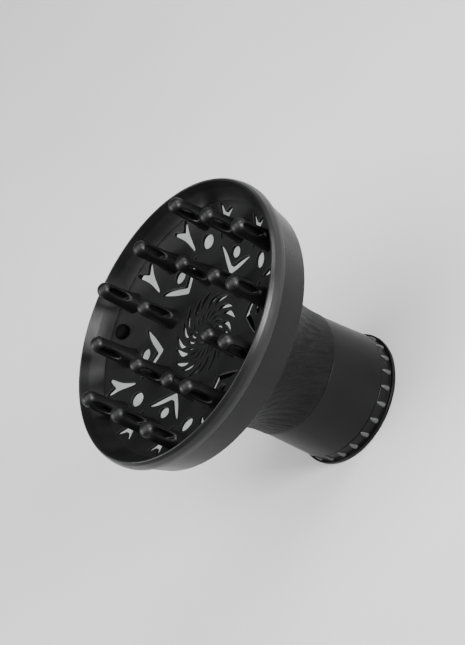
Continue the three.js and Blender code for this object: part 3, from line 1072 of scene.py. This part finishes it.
# ---- jaws ---------------------------------------------------------------------------------------
def make_carrier():
    """The fixed ring that holds the top of each jaw's pin."""
    holes = [circle(BORE_RADIUS, 1.2)]
    holes += [circle(PIN_HOLE, 0.4, polar(PIVOT_RADIUS, SECTOR * i)) for i in range(SECTORS)]
    top, bottom = level(CARRIER_TOP), level(CARRIER_LOW)
    carrier = slab(circle(CARRIER_RADIUS, 1.2), holes, top, bottom, edge=0.3, grid=2)
    piece("pin_carrier", carrier, [NYLON], "housing", ["jaw_carrier"])


def jaw_part():
    """A curved arm with a hole for its pin and a peg under it."""
    heel, toe = -2.3, 42  # degrees round the axis
    back, front = arc(34.3, heel, toe, 40), arc(31.3, toe + 0.6, heel, 40)
    blunt_end = [np.array([PIVOT_RADIUS - 0.7, -1.9]), np.array([PIVOT_RADIUS + 0.7, -1.9])]
    outline = evenly(softened(back + front + blunt_end, 1), 0.7)
    hole = circle(PIN_HOLE, 0.4, (PIVOT_RADIUS, 0))
    arm = slab(outline, [hole], level(JAW_TOP), level(JAW_LOW), edge=0.35, grid=2)
    peg_top = JAW_LOW + 0.3
    peg = turned(
        [
            (0, PEG_LOW),
            (0.55, PEG_LOW),
            (0.72, PEG_LOW + 0.07),
            (PEG_RADIUS, PEG_LOW + 0.25),
            (PEG_RADIUS, peg_top),
            (0, peg_top),
        ],
        24,
        closed=False,
    )
    return join([arm, moved(peg, *peg_place(0))])


def pad_part():
    """A soft pad on the jaw's inner side, with nine shallow grooves."""
    first, last = 24, 42  # degrees round the axis
    crest, depth, grooves = 30.12, 0.34, 9
    grip = []
    for t in np.linspace(0, 1, 8 * grooves + 1):
        radius = crest + depth / 2 * (1 - math.cos(2 * math.pi * grooves * t))
        grip.append(polar(radius, last + (first - last) * t))
    outline = evenly(np.array(arc(31, first, last, 40) + grip), 0.2)
    return slab(outline, [], level(PAD_TOP), level(PAD_LOW), edge=0.12, grid=0.6, strip=0.05)


def pin_part():
    """A steel pivot pin with broken edges."""
    return turned(
        [
            (0, PIN_LOW),
            (0.55, PIN_LOW),
            (0.74, PIN_LOW + 0.1),
            (PIN_RADIUS, PIN_LOW + 0.3),
            (PIN_RADIUS, PIN_TOP - 0.3),
            (0.74, PIN_TOP - 0.1),
            (0.55, PIN_TOP),
            (0, PIN_TOP),
        ],
        32,
        closed=False,
    )


def make_jaws():
    jaw, pad, pin = jaw_part(), pad_part(), pin_part()
    for i in range(SECTORS):
        number, angle = i + 1, SECTOR * i
        body = f"swinging_jaw_{number}"
        arm, soft, post = spun(jaw, angle), spun(pad, angle), moved(pin, *polar(PIVOT_RADIUS, angle))
        piece(f"curved_jaw_{number}", arm, [NYLON], body, [f"jaw_{number}"])
        piece(f"ribbed_pad_{number}", soft, [SILICONE], body, [f"jaw_pad_{number}"])
        piece(f"steel_pin_{number}", post, [STEEL], "housing", [f"jaw_pin_{number}"])


# ---- floor, lights and camera, in metres --------------------------------------------------------
FLOOR_REACH = 6
WORLD_COLOUR, WORLD_STRENGTH = (0.92, 0.94, 0.97, 1), 0.22
LIGHTS_AIM = (0, 0, 0.09)
CAMERA_AZIMUTH, CAMERA_ELEVATION, CAMERA_ROLL = 88.52, 33.41, 65.09
CAMERA_DISTANCE, CAMERA_LENS = 1.1374, 113.85
CAMERA_AIM = (0.0003, 0.0123, 0.0955)


def towards(azimuth, elevation):
    a, e = math.radians(azimuth), math.radians(elevation)
    return Vector((math.sin(a) * math.cos(e), -math.cos(a) * math.cos(e), math.sin(e)))


def make_floor():
    r = FLOOR_REACH
    mesh = bpy.data.meshes.new("floor")
    mesh.from_pydata([(-r, -r, 0), (r, -r, 0), (r, r, 0), (-r, r, 0)], [], [(0, 1, 2, 3)])
    paper = Nodes("pale_paper", roughness=0.85, specular_ior_level=0.2)
    paper.colour(paper.ramp(paper.noise(6, 2), [(0.3, (0.74, 0.74, 0.735)), (0.7, (0.78, 0.78, 0.775))]))
    mesh.materials.append(paper.material)
    floor = bpy.data.objects.new("floor", mesh)
    bpy.context.scene.collection.objects.link(floor)


def make_world():
    world = bpy.data.worlds.new("studio")
    world.use_nodes = True
    background = world.node_tree.nodes["Background"]
    background.inputs["Color"].default_value = WORLD_COLOUR
    background.inputs["Strength"].default_value = WORLD_STRENGTH
    bpy.context.scene.world = world


def softbox(name, azimuth, elevation, distance, width, height, power, spread=180):
    """A rectangular light that faces the object."""
    data = bpy.data.lights.new(name, "AREA")
    data.shape, data.size, data.size_y = "RECTANGLE", width, height
    data.energy, data.spread = power, math.radians(spread)
    light = bpy.data.objects.new(name, data)
    aim = Vector(LIGHTS_AIM)
    light.location = aim + towards(azimuth, elevation) * distance
    light.rotation_euler = (aim - light.location).to_track_quat("-Z", "Y").to_euler()
    bpy.context.scene.collection.objects.link(light)


def make_lights():
    softbox("overhead", azimuth=60, elevation=78, distance=1.6, width=1.6, height=1.6, power=30)
    softbox("left_key", azimuth=-35, elevation=38, distance=1.5, width=0.9, height=0.7, power=16)
    softbox("right_strip", azimuth=165, elevation=30, distance=1.4, width=0.5, height=0.9, power=13)
    softbox(
        "low_front", azimuth=118, elevation=16, distance=1.0, width=0.35, height=0.4, power=2.2, spread=60
    )


def make_camera():
    data = bpy.data.cameras.new("camera")
    data.lens, data.sensor_width = CAMERA_LENS, 36
    camera = bpy.data.objects.new("camera", data)
    back = towards(CAMERA_AZIMUTH, CAMERA_ELEVATION)
    camera.location = Vector(CAMERA_AIM) + back * CAMERA_DISTANCE
    upright = (-back).to_track_quat("-Z", "Y")
    camera.rotation_mode = "QUATERNION"
    camera.rotation_quaternion = upright @ Quaternion((0, 0, 1), -math.radians(CAMERA_ROLL))
    bpy.context.scene.collection.objects.link(camera)
    bpy.context.scene.camera = camera


make_rim()
make_horn()
make_liner()
make_sleeve()
make_plate()
make_grille()
make_plug()
make_fingers()
make_grip()
make_carrier()
make_jaws()
make_floor()
make_world()
make_lights()
make_camera()
